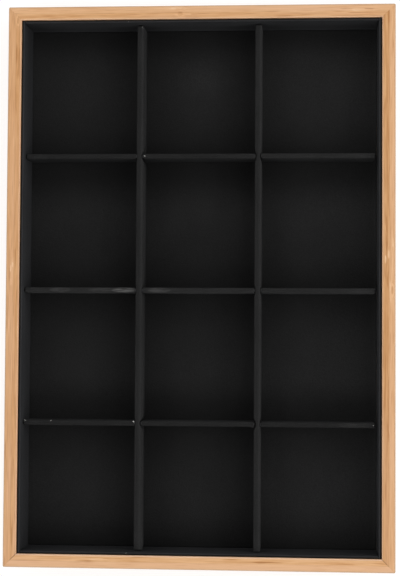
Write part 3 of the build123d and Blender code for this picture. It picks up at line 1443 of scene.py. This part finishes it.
@dataclass
class Dividers:
    """The five velvet-covered dividers: three across with laps open upwards, two long ones over them."""

    wraps: WrapTree
    cloth: float = 0.4 * MM
    fold: float = 1.1 * MM
    long_step: float = 0.75 * MM
    cross_step: float = 0.60 * MM
    steps: tuple[int, int] = (10, 18)
    lap_gap: float = 0.15 * MM
    least_pinch: float = 0.35 * MM
    shoulder: float = 1.0 * MM
    left_swell: float = 1.45 * MM
    tone: float = 0.0195
    combing: float = 0.45
    core_colour: Colour = (0.030, 0.030, 0.031)

    def build(self) -> None:
        """Dresses the cores and makes the covers."""
        core = Board("core_board", self.core_colour, 0.6, grain=(500.0, 500.0, 500.0)).material()
        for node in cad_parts:
            if "_core_" in node:
                dress(node, core)
        columns = [size_of(f"long_velvet_{name}")[0] for name in LONGS]
        rows = [size_of(f"cross_velvet_{name}")[0] for name in CROSSES]
        pushes = ((0.0, 0.9), (0.2, 0.1), (0.0, 0.4))
        for name, row, pair, seed in zip(CROSSES, rows, pushes, (21.0, 22.0, 23.0)):
            laps = tuple(Lap(column.x - row.x, push=push * MM) for column, push in zip(columns, pair))
            self._cover_cross(name, laps, seed)
        pinches = (
            ((0.35, 1.05), (0.35, 0.45), (0.35, 1.10)),
            ((1.20, 0.60), (0.65, 0.60), (0.95, 0.95)),
        )
        swells = ((self.left_swell, 31.0), (0.0, 37.0))
        for name, column, pairs, (swell, seed) in zip(LONGS, columns, pinches, swells):
            laps = tuple(
                Lap(row.y - column.y, left * MM, right * MM) for row, (left, right) in zip(rows, pairs)
            )
            self._cover_long(name, laps, swell, seed)

    def _long_velvet(self, name: str, x: float) -> Velvet:
        """Finishes one long divider.

        Args:
            name: left or right.
            x: where its middle is.

        Returns:
            Velvet painted lighter and darker along the divider, across its top and down its sides: painted
            light and shade, with painted highlights at its ends and on the right shoulder of its top.
        """
        middle, half, gain = {"left": (15.0, 130.0, -0.08), "right": (130.0, 70.0, 0.06)}[name]
        # Painted light and shade: lighter or darker along the divider, lighter sides at mid height, painted
        # highlights at both ends and on the right shoulder of the top, and painted lines along the top.
        bands = (
            Band(1, middle * MM, half * MM, gain),
            Band(2, 15.0 * MM, 9.5 * MM, 0.15),
            Band(1, -166.0 * MM, 16.0 * MM, 0.40),
            Band(1, 166.0 * MM, 10.0 * MM, 0.40),
            Band(0, x + 1.3 * MM, 1.1 * MM, 0.25),
            Band(0, x - 0.5 * MM, 1.1 * MM, -0.07),
            Band(0, x - 1.5 * MM, 1.1 * MM, 0.03),
        )
        strands = (1900.0, 90.0, 900.0)
        return Velvet(f"velvet_{name}", self.tone, bands=bands, strands=strands, combing=self.combing)

    def _cross_velvet(self, name: str, y: float, top: float) -> Velvet:
        """Finishes one cross divider.

        Args:
            name: front, middle or back.
            y: where its middle is.
            top: height of its top.

        Returns:
            Velvet with rubbed spots on top, and painted light and shade along the divider, on its front side,
            down its sides and at its ends.
        """
        rubbed = ((-88.0, 7.0, 0.22), (-62.0, 9.0, 0.16), (-48.0, 7.5, 0.75), (-25.5, 7.5, 0.32))
        tone, front_side, right_half, spots = {
            "front": (-0.12, 0.0, 0.0, ((92.0, 6.5, 0.08),)),
            "middle": (0.07, 0.55, 0.0, rubbed),
            "back": (-0.13, -0.22, 0.20, ()),
        }[name]
        # Painted light and shade: each row's top lighter or darker, a darker line along the top, a painted
        # lighter or darker front side, sides darker towards the foot, the back row's right half lighter, and
        # painted light at both ends.
        bands = (
            Band(1, y, 6.0 * MM, tone),
            Band(1, y, 0.8 * MM, -0.07),
            Band(1, y - 1.65 * MM, 0.5 * MM, front_side),
            Band(2, 10.0 * MM, 8.0 * MM, -0.10),
            Band(0, 70.0 * MM, 75.0 * MM, right_half),
            Band(0, 114.0 * MM, 26.0 * MM, 0.70),
            Band(0, 111.5 * MM, 4.5 * MM, 1.00),
            Band(0, -114.0 * MM, 20.0 * MM, 0.65),
        )
        scuffs = tuple(
            Scuff((x * MM, y, top), (half * MM, 1.9 * MM, 1.6 * MM), strength) for x, half, strength in spots
        )
        strands = (160.0, 1700.0, 900.0)
        return Velvet(
            f"velvet_{name}", self.tone, bands=bands, scuffs=scuffs, strands=strands, combing=self.combing
        )

    def _cover_cross(self, name: str, laps: tuple[Lap, ...], seed: float) -> None:
        """Covers one cross divider.

        Args:
            name: front, middle or back.
            laps: where the long dividers cross it.
            seed: seed of its ripples.
        """
        node = f"cross_velvet_{name}"
        foot, size = size_of(node)
        crossing = size_of("long_velvet_left")[1].x
        wrap = Wrap(
            size.x, size.y, size.z, self.fold, round(size.x / self.cross_step), *self.steps, laps=laps,
            lap_width=crossing - 2 * self.least_pinch + 2 * self.lap_gap,
            lap_level=size.z / 2 - self.lap_gap, laps_open_up=1.0, shoulder=self.shoulder,
            plumpness=0.02, ripple=0.09 * MM, ripple_size=11.0 * MM, seed=seed,
        )
        velvet = self._cross_velvet(name, foot.y, foot.z + size.z)
        cover = self.wraps.make(f"cover_cross_{name}", wrap, Matrix.Translation(foot), velvet)
        thicken(cover, self.cloth)
        lay(cover, "cross_dividers", node, wrap.flat, "stretched", f"cross_core_{name}")

    def _cover_long(self, name: str, laps: tuple[Lap, ...], swell: float, seed: float) -> None:
        """Covers one long divider.

        Args:
            name: left or right.
            laps: where it crosses the cross dividers.
            swell: how far loose velvet stands out on the right.
            seed: seed of its ripples.
        """
        node = f"long_velvet_{name}"
        foot, size = size_of(node)
        crossing = size_of("cross_velvet_middle")[1].y
        wrap = Wrap(
            size.y, size.x, size.z, self.fold, round(size.y / self.long_step), *self.steps, laps=laps,
            lap_width=crossing + 2 * self.lap_gap, lap_level=size.z / 2 + self.lap_gap,
            swell=swell, ripple=0.11 * MM, ripple_size=14.0 * MM, seed=seed,
        )
        place = Matrix.Translation(foot) @ Side.LEFT.turn
        cover = self.wraps.make(f"cover_long_{name}", wrap, place, self._long_velvet(name, foot.x))
        thicken(cover, self.cloth)
        lay(cover, f"long_divider_{name}", node, wrap.flat, "stretched", f"long_core_{name}")


@dataclass
class Lint:
    """Fibres of lint where the photograph shows bright specks."""

    thickness: float = 0.12 * MM
    bedded: float = 0.6
    spread: float = 0.2
    curl: float = 2.4
    tilt: float = 0.10
    colour: Colour = (0.72, 0.71, 0.68)

    def build(self) -> None:
        """Drops the fibres, body by body, at spots in mm with so many fibres each."""
        tree = LintTree()
        crossings = (
            (-35.0, 81.5, 3), (-41.0, -84.8, 5), (-109.2, -84.6, 3), (-93.0, -84.55, 2), (108.0, -85.8, 2),
        )
        covers = ("cover_cross_front", "cover_cross_back")
        self._drop(tree, "cross_dividers", covers, crossings, 1.1 * MM, 5)
        self._drop(tree, "long_divider_left", ("cover_long_left",), ((-37.2, 163.2, 1),), 1.0 * MM, 7)
        walls = ("lining_front", "lining_back")
        self._drop(tree, "tray", walls, ((-45.2, 165.6, 1), (-44.0, -165.6, 1)), 1.0 * MM, 9)

    def _drop(
        self,
        tree: LintTree,
        body: str,
        carriers: tuple[str, ...],
        spots: tuple[tuple[float, float, int], ...],
        length: float,
        seed: int,
    ) -> None:
        """Drops fibres on pieces of one body.

        Args:
            tree: the tree that makes fibres.
            body: the body that carries them.
            carriers: the pieces that they lie on.
            spots: x and y in mm of each tuft and its number of fibres.
            length: length of a fibre.
            seed: seed of all draws.
        """
        top = self._top(carriers)
        draw = random.Random(seed)
        points = []
        for x, y, count in spots:
            for _ in range(count):
                east, north = (at + draw.uniform(-self.spread, self.spread) for at in (x, y))
                place = top.ray_cast(Vector((east * MM, north * MM, FAR)), Vector((0.0, 0.0, -1.0)))[0]
                points.append((place.x, place.y, place.z + self.thickness * self.bedded))
        start = bpy.data.meshes.new(f"lint_{body}")
        start.from_pydata(points, [], [])
        sockets = {
            "Length": length, "Thickness": self.thickness, "Curl": self.curl, "Tilt": self.tilt, "Seed": seed
        }
        lint = tree.run(f"lint_{body}", start, sockets, Board("lint_fibre", self.colour, 0.2).material())
        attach(lint, body)
        LOG.info("%s dropped, %d fibres", lint.name, len(points))

    def _top(self, carriers: tuple[str, ...]) -> BVHTree:
        """Joins pieces to cast rays at.

        Args:
            carriers: names of the pieces.

        Returns:
            A tree of their faces.
        """
        corners: list[Vector] = []
        faces: list[list[int]] = []
        for carrier in carriers:
            mesh = bpy.data.objects[carrier].data
            faces += [[len(corners) + corner for corner in face.vertices] for face in mesh.polygons]
            corners += [corner.co.copy() for corner in mesh.vertices]
        return BVHTree.FromPolygons(corners, faces)


@dataclass(frozen=True)
class Studio:
    """Pale floor, soft light from all round and above, and the camera."""

    place: Place = (60.9 * MM, -37.4 * MM, 915.9 * MM)
    tilt: Place = (-2.342, -3.883, -0.347)
    focal_pixels: float = 1432.6
    picture_height: float = 576.0
    sensor: float = 36.0
    sky: float = 1.30
    softbox_size: float = 0.7
    right_softbox: Place = (1.25, -0.05, 0.72)
    right_power: float = 6.2
    left_softbox: Place = (-1.25, 0.05, 0.72)
    left_power: float = 1.6
    ceiling_height: float = 1.6
    ceiling_radius: float = 1.16
    ceiling_corners: int = 36
    ceiling_colour: Colour = (0.02, 0.02, 0.02)
    floor_half: float = 3.0
    floor_colour: Colour = (0.8, 0.8, 0.8)
    floor_seen: Colour = (0.35, 0.35, 0.35)
    floor_glow: float = 0.72

    def build(self) -> None:
        """Makes the camera, the lights and the floor."""
        self._set_camera()
        self._set_world()
        self._hang_softbox("softbox_right", self.right_softbox, self.right_power)
        self._hang_softbox("softbox_left", self.left_softbox, self.left_power)
        self._hang_ceiling()
        self._lay_floor()
        bpy.context.scene.view_settings.view_transform = "Standard"

    def _set_camera(self) -> None:
        """Places the camera where the photograph was taken from."""
        camera = bpy.data.cameras.new("camera")
        camera.sensor_fit = "VERTICAL"
        camera.sensor_height = self.sensor
        camera.lens = self.focal_pixels * self.sensor / self.picture_height
        turn = Matrix.Identity(3)
        for angle, axis in zip(self.tilt, "XYZ"):
            turn = turn @ Matrix.Rotation(math.radians(angle), 3, axis)
        tripod = stand("camera", camera)
        tripod.rotation_euler = turn.transposed().to_euler()
        tripod.location = self.place
        bpy.context.scene.camera = tripod

    def _seen(self, graph: Graph) -> Value:
        """Tells the rays that show the background: from the camera, off gloss and through glass.

        Args:
            graph: the graph that asks.

        Returns:
            1 for those rays, and 0 for the ones that light.
        """
        path = graph.add("ShaderNodeLightPath")
        camera, glossy, through = (
            Value(graph, path.outputs[f"Is {kind} Ray"]) for kind in ("Camera", "Glossy", "Transmission")
        )
        return (camera + glossy + through).at_most(1.0)

    def _set_world(self) -> None:
        """Lights from all round at a plain level, and shows white behind."""
        world = bpy.data.worlds.new("studio")
        world.use_nodes = True
        bpy.context.scene.world = world
        graph = Graph(world.node_tree)
        strength = self._seen(graph) * (1.0 - self.sky) + self.sky
        background = graph.add("ShaderNodeBackground", None, {"Color": WHITE, "Strength": strength})
        graph.add("ShaderNodeOutputWorld", None, {"Surface": background.outputs[0]})

    def _hang_softbox(self, name: str, place: Place, power: float) -> None:
        """Hangs a soft square lamp that faces the tray.

        Args:
            name: the lamp's name.
            place: where it hangs.
            power: its power in watts.
        """
        light = bpy.data.lights.new(name, "AREA")
        light.size = self.softbox_size
        light.energy = power
        lamp = stand(name, light)
        lamp.location = place
        lamp.rotation_euler = Vector(place).to_track_quat("Z", "Y").to_euler()

    def _stage(self, name: str, corners: list[Place], material: Material) -> bpy.types.Object:
        """Makes one flat piece of the studio.

        Args:
            name: the piece's name.
            corners: its outline.
            material: its finish.

        Returns:
            The piece.
        """
        mesh = bpy.data.meshes.new(name)
        mesh.from_pydata(corners, [], [tuple(range(len(corners)))])
        mesh.materials.append(material)
        piece = stand(name, mesh)
        return piece

    def _hang_ceiling(self) -> None:
        """Hangs a dark ceiling round the camera, so that light comes from the sides as in a light tent."""
        step = math.radians(360.0 / self.ceiling_corners)
        turns = [step * corner for corner in range(self.ceiling_corners)]
        rim = [
            (self.ceiling_radius * math.cos(turn), self.ceiling_radius * math.sin(turn), self.ceiling_height)
            for turn in turns
        ]
        ceiling = self._stage("ceiling", rim, Board("ceiling_cloth", self.ceiling_colour).material())
        ceiling.visible_camera = False

    def _lay_floor(self) -> None:
        """Lays a pale floor that shows white and keeps the tray's shadow."""
        material = bpy.data.materials.new("pale_floor")
        material.use_nodes = True
        graph = Graph(material.node_tree)
        seen = self._seen(graph)
        colour = graph.mix(seen, self.floor_colour, self.floor_seen)
        matt = graph.add("ShaderNodeBsdfDiffuse", None, {"Color": colour})
        glow = graph.add("ShaderNodeEmission", None, {"Color": WHITE, "Strength": seen * self.floor_glow})
        both = graph.add("ShaderNodeAddShader", None, {0: matt.outputs[0], 1: glow.outputs[0]})
        graph.add("ShaderNodeOutputMaterial", None, {"Surface": both.outputs[0]})
        half = self.floor_half
        corners = [(-half, -half, 0.0), (half, -half, 0.0), (half, half, 0.0), (-half, half, 0.0)]
        self._stage("floor", corners, material)


def main() -> None:
    """Builds and dresses the whole tray."""
    logging.basicConfig(level=logging.INFO, format="%(message)s")
    Studio().build()
    wraps = WrapTree()
    Rails().build()
    Base(wraps).build()
    Linings(wraps).build()
    Dividers(wraps).build()
    Lint().build()


if __name__ == "__main__":
    main()
